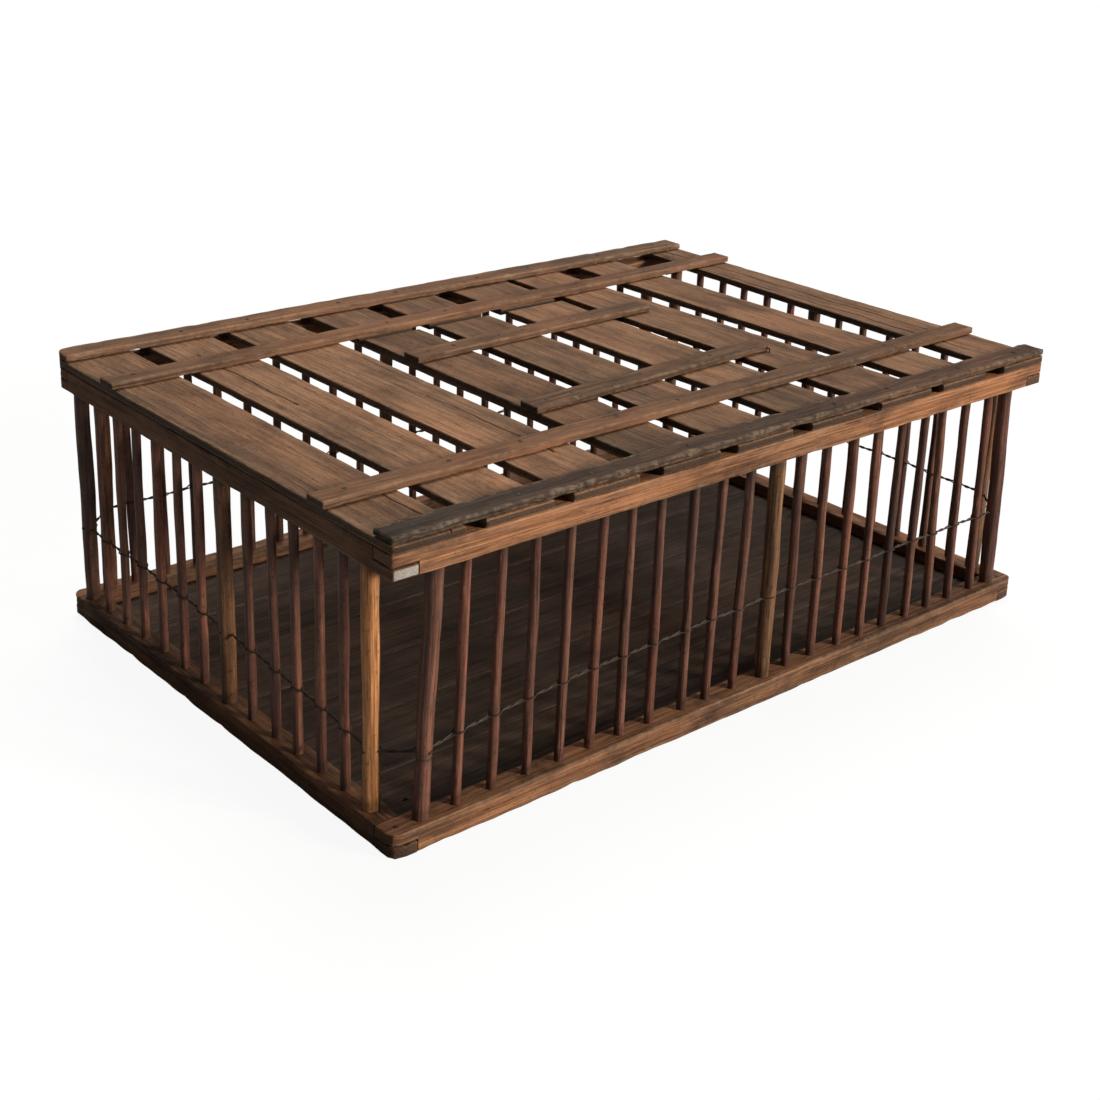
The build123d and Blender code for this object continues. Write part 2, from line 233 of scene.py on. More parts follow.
class Section:
    """The outline of a timber at every station: corners, counterclockwise, and the sides between."""

    def __init__(self, corners, spacing):
        self.corners = corners
        middle = corners[:, corners.shape[1] // 2]
        sides = np.roll(middle, -1, axis=0) - middle
        self.lengths = np.linalg.norm(sides, axis=1)
        self.along = sides / self.lengths[:, None]
        self.inward = np.stack([-self.along[:, 1], self.along[:, 0]], axis=1)
        self.counts = [max(1, round(length / spacing) - 1) for length in self.lengths]

    def draw_in(self, offsets):
        """Moves each side inwards by its own offset at each station."""
        for side, offset in enumerate(offsets):
            move = offset[:, None] * self.inward[side]
            self.corners[side] += move
            self.corners[(side + 1) % len(offsets)] += move

    def rings(self, radii):
        """The points, (stations, points, 2), and for each point its side and how near an edge it is."""
        points = []
        sides = []
        edges = []
        total = len(self.corners)
        for k in range(total):
            into = self.along[k - 1]
            out = self.along[k]
            radius = radii[k][:, None]
            centre = self.corners[k] + radius * (out - into)
            for step in range(ARC_STEPS + 1):
                angle = math.pi / 2 * step / ARC_STEPS
                points.append(centre + radius * (into * math.sin(angle) - out * math.cos(angle)))
                sides.append(-1)
                edges.append(1.0)
            after = (k + 1) % total
            first = self.corners[k] + radius * out
            last = self.corners[after] - radii[after][:, None] * out
            for step in range(1, self.counts[k] + 1):
                share = step / (self.counts[k] + 1)
                points.append(first + (last - first) * share)
                sides.append(k)
                edges.append(0.0)
        return np.stack(points, axis=1), np.array(sides), np.array(edges)


def plain_section(width, height):
    """Four corners of a timber: the top side first, then the low, bottom and high sides."""
    def corners(w):
        places = [(width / 2, height / 2), (-width / 2, height / 2),
                  (-width / 2, -height / 2), (width / 2, -height / 2)]
        return np.array([[place] * len(w) for place in places], float)

    return corners


# What a timber is like, unless its maker says otherwise.  spacing and step are between points,
# across and along; breaks are where its section steps; corner_wear gives an edge its own radius
# in the middle and near the ends; spots are stains, splits cracks, and knot a knothole.
TIMBER = {
    "radius": 1.2 * MM,
    "ends": (1.6 * MM, 1.6 * MM),
    "rough": 0.5 * MM,
    "dents": 12,
    "dent": 1.8 * MM,
    "spacing": 8 * MM,
    "step": 8 * MM,
    "relief": 0.22 * MM,
    "breaks": (),
    "corner_wear": {},
    "spots": (),
    "splits": (),
    "knot": None,
    "tone": 0.0,
    "grey": 0.0,
    "side_grime": {},
}
WORN_REACH = 22 * MM


def timber(name, material, body, slot, start, end, section, across, **choices):
    """A worn length of wood from start to end, which stands for the CAD node of that name.
    section gives its corners at each distance, by their places across and upwards."""
    c = {**TIMBER, **choices}
    rng = random.Random(name)
    start = np.array(start, float)
    run = np.array(end, float) - start
    length = float(np.linalg.norm(run))
    w = stations_along(length, c["step"], c["ends"], c["breaks"])
    outline = Section(section(w), c["spacing"])
    sides = len(outline.corners)
    inset = end_inset(w, length, c["ends"])
    wander = [waves(rng, c["rough"], 0.31, 0.12, 0.047) for _ in range(sides)]
    outline.draw_in([wave(w) + inset for wave in wander])

    radii = []
    edge_wear = []
    for k in range(sides):
        dents = bruises(rng, length, c["dents"], c["dent"])(w)
        middle, at_ends = c["corner_wear"].get(k, (c["radius"], c["radius"]))
        nearness = np.exp(-np.minimum(w, length - w) / WORN_REACH)
        base = middle + (at_ends - middle) * nearness
        radii.append(base * (0.7 + waves(rng, 0.6, 0.09, 0.035)(w)) + dents)
        edge_wear.append(0.45 + waves(rng, 0.45, 0.2, 0.06)(w) + dents / (2 * MM))
    rings, side_of, edges = outline.rings(radii)

    u = rings[:, :, 0]
    v = rings[:, :, 1]
    shift = relief(rng, u, w, c["relief"])
    for side in range(sides):
        chosen = side_of == side
        u[:, chosen] += shift[:, chosen] * outline.inward[side][0]
        v[:, chosen] += shift[:, chosen] * outline.inward[side][1]
    for split in c["splits"]:
        open_split(u, v, w, side_of == 0, *split)
    place = np.repeat(w[:, None], rings.shape[1], axis=1)
    centres = gather_bore(u, w, place, side_of, *c["knot"]) if c["knot"] else []
    points = (start + place[..., None] * run / length
              + u[..., None] * np.array(across) + v[..., None] * np.array(Z_AXIS))

    grain = np.stack([u, v, place], axis=-1) + [rng.uniform(-4, 4) for _ in range(3)]
    marks = np.zeros(points.shape[:2] + (4,))
    corner_of = np.repeat(np.arange(sides), [ARC_STEPS + 1 + n for n in outline.counts])
    marks[..., 0] = edges * np.stack(edge_wear, axis=1)[:, corner_of]
    end_wear = np.clip(inset / max(c["ends"]), 0, 1)[:, None]
    marks[..., 0] = np.maximum(marks[..., 0], 0.8 * end_wear)
    marks[[0, -1], :, 1] = 1.0
    marks[..., 2] = stain_of(u, place, side_of, c["spots"])
    # Painted shade: the chosen sides of the piece are darkened through the stain mark, as if they lay in
    # shade.
    for side, amount in c["side_grime"].items():
        shaded_points = np.flatnonzero(side_of == side)
        corners = [shaded_points[0] - 1, (shaded_points[-1] + 1) % len(side_of)]
        marks[:, shaded_points, 2] = amount
        marks[:, corners, 2] = np.maximum(marks[:, corners, 2], amount * 0.8)
    marks[..., 3] = c["grey"]
    form = Form()
    index = form.add(points, grain, np.clip(marks, 0, 1), c["tone"])
    if centres:
        form.bores.append([int(index[centre]) for centre in centres])
    form.piece("worn_" + name, material, body, slot, name)


def relief(rng, u, w, size):
    """A shallow unevenness of a face, as a depth under its highest parts."""
    total = np.zeros_like(u)
    for _ in range(5):
        across = rng.uniform(80, 420)
        along = rng.uniform(6, 60)
        total += np.sin(across * u + along * w[:, None] + rng.uniform(0, math.tau))
    return size * (0.5 + total / 10)


def smooth(x):
    x = np.clip(x, 0, 1)
    return x * x * (3 - 2 * x)


def open_split(u, v, w, top, middle, first, last, width, depth):
    """Draws three columns of points together along a crack in the top, and sinks the middle one."""
    columns = np.flatnonzero(top)
    nearest = int(np.abs(u[len(w) // 2, columns] - middle).argmin())
    nearest = min(max(nearest, 1), len(columns) - 2)
    lips = columns[nearest - 1:nearest + 2]
    fade = smooth((w - first) / (14 * MM)) * smooth((last - w) / (14 * MM))
    path = middle + 1.2 * MM * np.sin(w * 60) + 0.5 * MM * np.sin(w * 210)
    for lip, offset in zip(lips, (width / 2, 0, -width / 2)):
        u[:, lip] += (path + offset - u[:, lip]) * fade
    v[:, lips[1]] -= depth * fade


def gather_bore(u, w, place, side_of, at, middle, half_length, half_width):
    """Gathers the points round a knothole into an oval, on the top and on the bottom side, and
    returns the point in the middle of each."""
    row = int(np.abs(w - at).argmin())
    centres = []
    for side, way in ((0, -1), (2, 1)):
        columns = np.flatnonzero(side_of == side)
        column = columns[int(np.abs(u[row, columns] - middle).argmin())]
        for i in (-1, 0, 1):
            for j in (-1, 0, 1):
                reach = math.hypot(i, j) or 1
                u[row + i, column + j] = middle + way * j / reach * half_width
                place[row + i, column + j] = at + i / reach * half_length
        centres.append((row, column))
    return centres


def stain_of(u, place, side_of, spots):
    """Dark stains on the top: each spot is (distance along, across, reach, strength)."""
    stain = np.zeros_like(u)
    top = (side_of == 0)[None, :]
    for at, middle, reach, strength in spots:
        distance = ((place - at) / (2.2 * reach)) ** 2 + ((u - middle) / reach) ** 2
        stain = np.maximum(stain, strength * np.exp(-distance) * top)
    return stain


STICK_STEP = 9 * MM
STICK_BEND = 0.5 * MM


def stick(form, rng, foot, head, radius, tone, sides=12, rings=()):
    """A round upright shaved by hand: not quite straight, nor quite round.  rings are
    (height, depth) of the grooves round it."""
    foot = np.array(foot, float)
    run = np.array(head, float) - foot
    length = float(np.linalg.norm(run))
    w = np.linspace(0, length, int(length / STICK_STEP) + 1)
    for height, _ in rings:
        w = np.sort(np.append(w, [height - 1.2 * MM, height, height + 1.2 * MM]))
    angle = np.arange(sides) * math.tau / sides
    sway = [(waves(rng, 2 * STICK_BEND, 0.35, 0.16)(w) - STICK_BEND) * np.sin(math.pi * w / length)
            for _ in range(2)]
    girth = radius * (0.93 + waves(rng, 0.1, 0.11, 0.27)(w))
    for height, depth in rings:
        girth = girth - depth * np.exp(-((w - height) / (1.0 * MM)) ** 2)
    facets = 1 + 0.035 * np.sin(2 * angle[None, :] + waves(rng, 4, 0.3)(w)[:, None])
    facets = facets + 0.025 * np.sin(5 * angle[None, :] + waves(rng, 5, 0.12)(w)[:, None])
    for _ in range(rng.choice((0, 1, 1, 2))):
        at, side = rng.uniform(0.15, 0.9) * length, rng.uniform(0, math.tau)
        bump = np.exp(-((w - at) / (5 * MM)) ** 2)[:, None] * np.clip(np.cos(angle - side), 0, 1) ** 3
        facets = facets + rng.uniform(-0.1, 0.16) * bump
    reach = girth[:, None] * facets
    x = reach * np.cos(angle)
    y = reach * np.sin(angle)
    points = foot + (w / length)[:, None, None] * run + np.stack(
        [x + sway[0][:, None], y + sway[1][:, None], np.zeros_like(x)], axis=-1)
    place = np.repeat(w[:, None], sides, axis=1)
    grain = np.stack([x, y, place], axis=-1) + [rng.uniform(-4, 4) for _ in range(3)]
    marks = np.zeros(points.shape[:2] + (4,))
    marks[..., 0] = np.clip((facets - 1.03) * 8, 0, 1) * 0.5
    close = np.minimum(place, length - place)
    marks[..., 2] = 0.75 * np.exp(-((close - 6 * MM) / (7 * MM)) ** 2)
    for height, depth in rings:
        groove = np.exp(-((place - height) / (1.6 * MM)) ** 2)
        marks[..., 2] = np.maximum(marks[..., 2], groove * min(1, abs(depth) / (0.5 * MM)))
    form.add(points, grain, marks, tone)


def closed_wire(form, path, radius, sides=6):
    """A wire along a closed path that is never upright."""
    ahead = np.roll(path, -1, axis=0) - np.roll(path, 1, axis=0)
    ahead /= np.linalg.norm(ahead, axis=1)[:, None]
    beside = np.cross(ahead, (0, 0, 1))
    beside /= np.linalg.norm(beside, axis=1)[:, None]
    above = np.cross(beside, ahead)
    angle = np.arange(sides) * math.tau / sides
    ring = (beside[:, None, :] * np.cos(angle)[None, :, None]
            + above[:, None, :] * np.sin(angle)[None, :, None])
    points = path[:, None, :] + radius * ring
    form.add(points, points.copy(), np.zeros(points.shape[:2] + (4,)), loop=True)


# ---- Shader building ----

def add(tree, kind, inputs=None, **settings):
    """A node with its settings; inputs are values or the sockets that feed it."""
    node = tree.nodes.new(kind)
    for key, value in settings.items():
        setattr(node, key, value)
    for key, value in (inputs or {}).items():
        socket = node.inputs[key]
        if isinstance(value, bpy.types.NodeSocket):
            tree.links.new(value, socket)
        else:
            socket.default_value = value
    return node


def new_material(name):
    material = bpy.data.materials.new(name)
    material.use_nodes = True
    tree = material.node_tree
    tree.nodes.clear()
    shader = add(tree, "ShaderNodeBsdfPrincipled")
    output = add(tree, "ShaderNodeOutputMaterial")
    tree.links.new(shader.outputs["BSDF"], output.inputs["Surface"])
    return material, tree, shader


def attribute(tree, name, output):
    return add(tree, "ShaderNodeAttribute", attribute_name=name).outputs[output]


def stretched(tree, vector, scale):
    return add(tree, "ShaderNodeMapping", {"Vector": vector, "Scale": scale}).outputs["Vector"]


def noise(tree, vector, scale, detail=3.0, rough=0.5, distortion=0.0):
    inputs = {"Vector": vector, "Scale": scale, "Detail": detail, "Roughness": rough,
              "Distortion": distortion}
    return add(tree, "ShaderNodeTexNoise", inputs).outputs["Fac"]


def ramp(tree, factor, *stops):
    """A colour ramp from (position, colour) stops; a plain number is a grey."""
    node = add(tree, "ShaderNodeValToRGB", {"Fac": factor})
    band = node.color_ramp
    while len(band.elements) < len(stops):
        band.elements.new(0.5)
    for element, (position, colour) in zip(band.elements, stops):
        element.position = position
        element.color = (colour,) * 3 + (1,) if isinstance(colour, float) else (*colour, 1)
    return node.outputs["Color"]


def mix(tree, factor, a, b, blend="MIX"):
    node = add(tree, "ShaderNodeMix", data_type="RGBA", blend_type=blend)
    for index, value in ((0, factor), (6, a), (7, b)):
        socket = node.inputs[index]
        if isinstance(value, bpy.types.NodeSocket):
            tree.links.new(value, socket)
        else:
            socket.default_value = (*value, 1) if isinstance(value, tuple) else value
    return node.outputs[2]


def maths(tree, operation, a, b=0.0):
    return add(tree, "ShaderNodeMath", {0: a, 1: b}, operation=operation).outputs[0]


def times(tree, a, b):
    return maths(tree, "MULTIPLY", a, b)


def grey_of(tree, value):
    return add(tree, "ShaderNodeCombineColor",
               {"Red": value, "Green": value, "Blue": value}).outputs["Color"]


def scaled(tree, value, from_low, from_high, low, high):
    inputs = {"Value": value, "From Min": from_low, "From Max": from_high,
              "To Min": low, "To Max": high}
    return add(tree, "ShaderNodeMapRange", inputs).outputs["Result"]


# ---- Materials ----

WOOD = {
    "light": (0.30, 0.17, 0.095),
    "dark": (0.12, 0.06, 0.033),
    "warm": (0.27, 0.11, 0.05),
    "worn": (0.50, 0.36, 0.24),
    "grey": (0.12, 0.086, 0.062),
    "end": (0.20, 0.14, 0.10),
    # Colour of grime, and of the painted shade on the sides of deck boards
    "grime": (0.018, 0.012, 0.009),
    "grime_amount": 0.45,
    "warm_amount": 0.5,
    "wear": 0.2,
    "speckle": 0.3,
    "stripes": 0.55,
    "roughness": (0.5, 0.78),
    "specular": 0.18,
    "bump": 0.6,
}


def wood(name, **choices):
    """Old timber: growth rings, pores and streaks along the grain, with grime, worn edges,
    open end grain, stains, painted shade and greying where the mesh is marked for them."""
    c = {**WOOD, **choices}
    material, tree, shader = new_material(name)
    grain = attribute(tree, "grain", "Vector")
    marks = add(tree, "ShaderNodeAttribute", attribute_name="marks")
    split = add(tree, "ShaderNodeSeparateColor", {"Color": marks.outputs["Color"]})
    worn, end, stain = split.outputs["Red"], split.outputs["Green"], split.outputs["Blue"]
    greying = marks.outputs["Alpha"]
    tone = attribute(tree, "tone", "Fac")

    broad = noise(tree, stretched(tree, grain, (9, 9, 2.2)), 1.0, 3.0, 0.55)
    growth = noise(tree, stretched(tree, grain, (1.0, 1.6, 0.045)), 95.0, 3.0, 0.55, 0.7)
    streaks = noise(tree, stretched(tree, grain, (1.0, 1.0, 0.02)), 420.0, 3.0, 0.6)
    fibres = noise(tree, stretched(tree, grain, (1.0, 1.0, 0.018)), 1500.0, 2.0, 0.6)
    pores = noise(tree, stretched(tree, grain, (1.0, 1.0, 0.06)), 900.0, 1.0, 0.4)
    patches = noise(tree, stretched(tree, grain, (1.0, 1.0, 0.5)), 22.0, 4.0, 0.65, 0.4)
    specks = noise(tree, grain, 260.0, 3.0, 0.7)

    rings = maths(tree, "ADD", times(tree, growth, 0.6), times(tree, streaks, 0.4))
    colour = ramp(tree, rings, (0.36, c["dark"]), (0.62, c["light"]))
    warmth = times(tree, scaled(tree, broad, 0.42, 0.62, 0, 1), c["warm_amount"])
    colour = mix(tree, warmth, colour, c["warm"])
    shades = (
        (c["stripes"], ramp(tree, streaks, (0.38, 0.35), (0.58, 1.0))),
        (0.6, ramp(tree, fibres, (0.36, 0.55), (0.6, 1.12))),
        (0.55, ramp(tree, pores, (0.3, 0.3), (0.4, 1.0))),
        (1.0, grey_of(tree, scaled(tree, broad, 0.3, 0.7, 0.72, 1.18))),
    )
    for amount, shade in shades:
        colour = mix(tree, amount, colour, shade, "MULTIPLY")

    greyed = mix(tree, 0.75, c["grey"], ramp(tree, streaks, (0.35, 0.35), (0.62, 1.5)), "MULTIPLY")
    grey_share = times(tree, greying, scaled(tree, patches, 0.34, 0.5, 0.45, 1))
    colour = mix(tree, grey_share, colour, greyed)
    dirt = times(tree, scaled(tree, patches, 0.47, 0.68, 0, 1), c["grime_amount"])
    colour = mix(tree, dirt, colour, c["grime"])
    fleck = times(tree, scaled(tree, specks, 0.58, 0.68, 0, 1), c["speckle"])
    colour = mix(tree, fleck, colour, c["grime"])

    rubs = noise(tree, grain, 130.0, 3.0, 0.7)
    rubbed = times(tree, worn, scaled(tree, rubs, 0.4, 0.62, 0, 1))
    colour = mix(tree, times(tree, rubbed, c["wear"]), colour, c["worn"])
    open_pores = noise(tree, grain, 1400.0, 2.0, 0.6)
    end_colour = mix(tree, 0.7, c["end"], ramp(tree, open_pores, (0.4, 0.3), (0.6, 1.2)), "MULTIPLY")
    colour = mix(tree, end, colour, end_colour)
    # Stains and painted shade: the blue mark darkens towards the grime colour, for real stains and for
    # the shaded sides of deck boards.
    stain_and_shade = times(tree, stain, scaled(tree, specks, 0.3, 0.6, 0.6, 1))
    colour = mix(tree, stain_and_shade, colour, c["grime"])
    lift = scaled(tree, tone, -1, 1, 0.35, 1.65)
    colour = mix(tree, 1.0, colour, grey_of(tree, lift), "MULTIPLY")
    tree.links.new(colour, shader.inputs["Base Color"])

    low, high = c["roughness"]
    dullness = scaled(tree, maths(tree, "ADD", fibres, patches), 0.7, 1.3, low, high)
    tree.links.new(dullness, shader.inputs["Roughness"])
    shader.inputs["Specular IOR Level"].default_value = c["specular"]
    height = maths(tree, "ADD", times(tree, streaks, 0.8), times(tree, fibres, 0.35))
    height = maths(tree, "ADD", height, times(tree, scaled(tree, pores, 0.3, 0.42, 0, 1), 0.3))
    height = maths(tree, "ADD", height, times(tree, specks, 0.25))
    bump = add(tree, "ShaderNodeBump", {"Height": height, "Strength": c["bump"], "Distance": 0.8 * MM})
    tree.links.new(bump.outputs["Normal"], shader.inputs["Normal"])
    return material


def iron(name, bright, rust, rust_amount, roughness):
    """Old wire and nails: dark steel with rust bloom and pitting."""
    material, tree, shader = new_material(name)
    place = add(tree, "ShaderNodeTexCoord").outputs["Object"]
    bloom = noise(tree, place, 160.0, 4.0, 0.65)
    pits = noise(tree, place, 1400.0, 3.0, 0.6)
    colour = mix(tree, scaled(tree, bloom, 0.42, 0.62, 0, rust_amount), bright, rust)
    colour = mix(tree, 0.6, colour, ramp(tree, pits, (0.35, 0.4), (0.6, 1.1)), "MULTIPLY")
    tree.links.new(colour, shader.inputs["Base Color"])
    tree.links.new(scaled(tree, bloom, 0.3, 0.7, *roughness), shader.inputs["Roughness"])
    tree.links.new(scaled(tree, bloom, 0.4, 0.6, 0.75, 0.15), shader.inputs["Metallic"])
    bump = add(tree, "ShaderNodeBump", {"Height": pits, "Strength": 0.5, "Distance": 0.15 * MM})
    tree.links.new(bump.outputs["Normal"], shader.inputs["Normal"])
    return material


DECK_WOOD = wood("deck_wood", light=(0.31, 0.172, 0.094), dark=(0.15, 0.079, 0.043),
                 warm=(0.28, 0.128, 0.063), end=(0.07, 0.041, 0.025), stripes=0.4, speckle=0.6,
                 bump=0.8)
BATTEN_WOOD = wood("batten_wood", light=(0.24, 0.128, 0.066), dark=(0.09, 0.045, 0.025),
                   stripes=0.45, wear=0.25, speckle=0.5, end=(0.06, 0.04, 0.03))
GREY_WOOD = wood("weathered_wood", light=(0.098, 0.056, 0.035), dark=(0.024, 0.015, 0.011),
                 stripes=0.7, bump=1.0, speckle=0.7, wear=0.4, end=(0.07, 0.045, 0.03))
RAIL = {"light": (0.40, 0.19, 0.09), "dark": (0.16, 0.065, 0.03), "warm": (0.38, 0.15, 0.06)}
DARK_END = (0.13, 0.072, 0.043)
RAIL_WOOD = wood("rail_wood", **RAIL, end=DARK_END, grime_amount=0.6, speckle=0.5, stripes=0.7,
                 bump=0.8)
GRIMY_RAIL = wood("rail_wood_grimy", **RAIL, end=DARK_END, grime_amount=0.75, speckle=0.55,
                  stripes=0.65)
PALE_ENDED = wood("rail_wood_pale_end", **RAIL, end=(0.75, 0.69, 0.61))
DOWEL_WOOD = wood("dowel_wood", light=(0.27, 0.115, 0.07), dark=(0.10, 0.038, 0.027),
                  warm=(0.24, 0.08, 0.048), roughness=(0.34, 0.58), specular=0.4, speckle=0.75,
                  grime_amount=0.6)
POST_WOOD = wood("post_wood", light=(0.32, 0.16, 0.07), dark=(0.12, 0.055, 0.028),
                 warm=(0.31, 0.115, 0.045), roughness=(0.36, 0.6), specular=0.35, speckle=0.8,
                 grime_amount=0.6)
HONEY_WOOD = wood("post_wood_honey", light=(0.85, 0.40, 0.16), dark=(0.42, 0.17, 0.065),
                  warm=(0.80, 0.29, 0.09), roughness=(0.36, 0.6), speckle=0.5, grime_amount=0.3)
# The floor boards are coloured far darker than the deck: painted shade for the inside of the crate.
FLOOR_WOOD = wood("floor_wood", light=(0.10, 0.062, 0.042), dark=(0.034, 0.021, 0.015),
                  warm=(0.075, 0.038, 0.024), worn=(0.14, 0.1, 0.07), end=(0.07, 0.05, 0.035))
WIRE = iron("fence_wire", (0.07, 0.055, 0.045), (0.04, 0.02, 0.012), 0.9, (0.55, 0.85))
IRON = iron("nail_iron", (0.05, 0.045, 0.04), (0.035, 0.018, 0.01), 1.0, (0.55, 0.9))


# ---- Deck ----

def middle_of(low, high):
    return (low + high) / 2


# Left and right edge of the boards that taper: at the front and at the back, in millimetres
TAPERS = {
    6: ((508, 585), (508, 595)),
    7: ((615, 697), (605, 677)),
    8: ((717, 792), (716, 780)),
    9: ((825, 900), (849, 900)),
}


def board_section(name, low, high):
    """The outline of a deck board about the middle of its box."""
    number = int(name[-1])
    if number not in TAPERS:
        return plain_section(high.x - low.x, high.z - low.z)
    fronts, backs = TAPERS[number]
    half_height = (high.z - low.z) / 2
    centre = (low.x + high.x) / 2 + HALF_LENGTH

    def corners(w):
        share = (w + low.y + HALF_DEPTH) / (2 * HALF_DEPTH)
        left, right = [(front + (back - front) * share) * MM - centre
                       for front, back in zip(fronts, backs)]
        up = np.full_like(w, half_height)
        places = [(right, up), (left, up), (left, -up), (right, -up)]
        return np.array([np.stack(place, axis=1) for place in places])

    return corners


STAINS_PER_METRE = 14
STAIN_SPREAD = 35 * MM
# Painted shade on the left and the right side of a board: how much each is darkened
BOARD_SIDE_SHADE = {1: 0.85, 3: 0.5}


def stain_spots(name, length):
    """Stains scattered over the top of a board."""
    rng = random.Random("stains_" + name)
    return [(rng.uniform(0, length), rng.uniform(-1, 1) * STAIN_SPREAD, rng.uniform(6, 20) * MM,
             rng.uniform(0.15, 0.5)) for _ in range(max(1, int(length * STAINS_PER_METRE)))]


def board(name, body="crate", **choices):
    """A deck board, front to back, in the space of its CAD node."""
    low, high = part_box(name)
    centre = middle_of(low, high)
    timber(name, DECK_WOOD, body, "deck_wood", (centre.x, low.y, centre.z),
           (centre.x, high.y, centre.z), board_section(name, low, high), X_AXIS,
           spots=stain_spots(name, high.y - low.y), spacing=7 * MM, side_grime=BOARD_SIDE_SHADE, **choices)


# Cracks in the top of a plank: X from its middle, where each begins and ends, its width and
# depth.  One that begins before the plank does, or ends past it, is open there.
CRACKS = {
    1: ((22 * MM, -0.02, 0.13, 1.6 * MM, 2.5 * MM),),
    2: ((-9 * MM, 0.33, 0.55, 1.4 * MM, 2 * MM),),
    3: ((14 * MM, 0.08, 0.3, 1.4 * MM, 2 * MM),),
    7: ((-12 * MM, 0.40, 0.60, 1.4 * MM, 2 * MM),),
    9: ((-14 * MM, 0.04, 0.58, 2.2 * MM, 1.6 * MM), (9 * MM, 0.10, 0.62, 2.6 * MM, 1.8 * MM)),
}


PLANK_TONES = {1: -0.15, 2: 0.3, 3: 0.25, 7: 0.15, 8: 0.1, 9: 0.12}
STUB_TONE = -0.12
HATCH_TONES = {4: -0.35, 5: 0.05, 6: 0.2}


def make_deck():
    for number, tone in PLANK_TONES.items():
        board(f"deck_plank_{number}", tone=tone, splits=CRACKS.get(number, ()))
    for number, tone in HATCH_TONES.items():
        board(f"deck_stub_front_{number}", tone=STUB_TONE)
        board(f"deck_stub_back_{number}", tone=STUB_TONE)
        board(f"hatch_board_{number}", "hatch", tone=tone)


# ---- Battens ----

# How much further back the right end of a batten is than its left end
SLANTS = {"inner_batten_front": 5.03 * MM, "inner_batten_back": 20.13 * MM,
          "hatch_batten_front": 15.24 * MM, "hatch_batten_back": 9.77 * MM}


def batten(name, body, material, **choices):
    """A batten on the deck, left to right, in the space of its CAD node."""
    low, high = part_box(name)
    level = (low.z + high.z) / 2
    slant = SLANTS.get(name, 0.0)
    width = high.y - low.y - slant
    middle = low.y + width / 2
    timber(name, material, body, "batten_wood", (low.x, middle, level),
           (high.x, middle + slant, level), plain_section(width, high.z - low.z), Y_AXIS,
           spacing=4.5 * MM, step=5 * MM, **choices)


def make_battens():
    batten("edge_batten_front", "crate", GREY_WOOD, rough=1.2 * MM, dents=45, dent=3 * MM,
           radius=1.6 * MM, relief=0.5 * MM, grey=0.2, tone=-0.5, ends=(2.5 * MM, 2.5 * MM))
    batten("edge_batten_back", "crate", BATTEN_WOOD, rough=0.8 * MM, dents=24, dent=3 * MM,
           radius=1.6 * MM, relief=0.4 * MM, grey=0.1, ends=(2.5 * MM, 2.5 * MM))
    for place in ("front", "back"):
        batten("inner_batten_" + place, "crate", BATTEN_WOOD, rough=0.7 * MM, dents=14, tone=-0.15)
    for place in ("front", "back"):
        batten("hatch_batten_" + place, "hatch", BATTEN_WOOD, rough=0.7 * MM, dents=14, tone=-0.1,
               ends=(1.5 * MM, 3.6 * MM))


# ---- Frames ----

RAIL_WIDTH = 28 * MM
RABBET = 10 * MM
RABBET_TOP = 9.2 * MM
SLIVER = 0.05 * MM
# The right top rail is cut away underneath, except for a shoulder at each end
RIGHT_RAIL_UNDERCUT = 14 * MM
SHOULDER = 32 * MM
# Radii of the corners of the rabbet, in the middle of the rail and near its ends
CRISP = (0.02 * MM, 0.02 * MM)
RABBET_CORNERS = (3, 4, 5)


def rail_section(height, tongue, length, rabbet, rabbet_from, undercut):
    """A half-lapped rail, drawn from its outer face inwards.  tongue is "upper" or "lower"."""
    def corners(w):
        ending = (w < RAIL_WIDTH) | (w > length - RAIL_WIDTH)
        floor_side = (w > rabbet_from) & (w < length - rabbet_from)
        top = np.where(ending & (tongue == "lower"), height / 2, height)
        bottom = np.where(ending & (tongue == "upper"), height / 2, 0.0)
        if undercut:
            bottom = np.where((w > SHOULDER) & (w < length - SHOULDER), undercut, bottom)
        if not rabbet:
            places = [(RAIL_WIDTH, top), (0, top), (0, bottom), (RAIL_WIDTH, bottom)]
        else:
            shoulder = np.where(floor_side, RABBET_TOP, bottom + SLIVER)
            inner = np.where(floor_side, RAIL_WIDTH - RABBET, RAIL_WIDTH - SLIVER)
            places = [(RAIL_WIDTH, top), (0, top), (0, bottom), (inner, bottom),
                      (inner, shoulder), (RAIL_WIDTH, shoulder)]
        return np.array([np.stack([place[0] + 0.0 * w, place[1] + 0.0 * w], axis=1)
                         for place in places])

    return corners


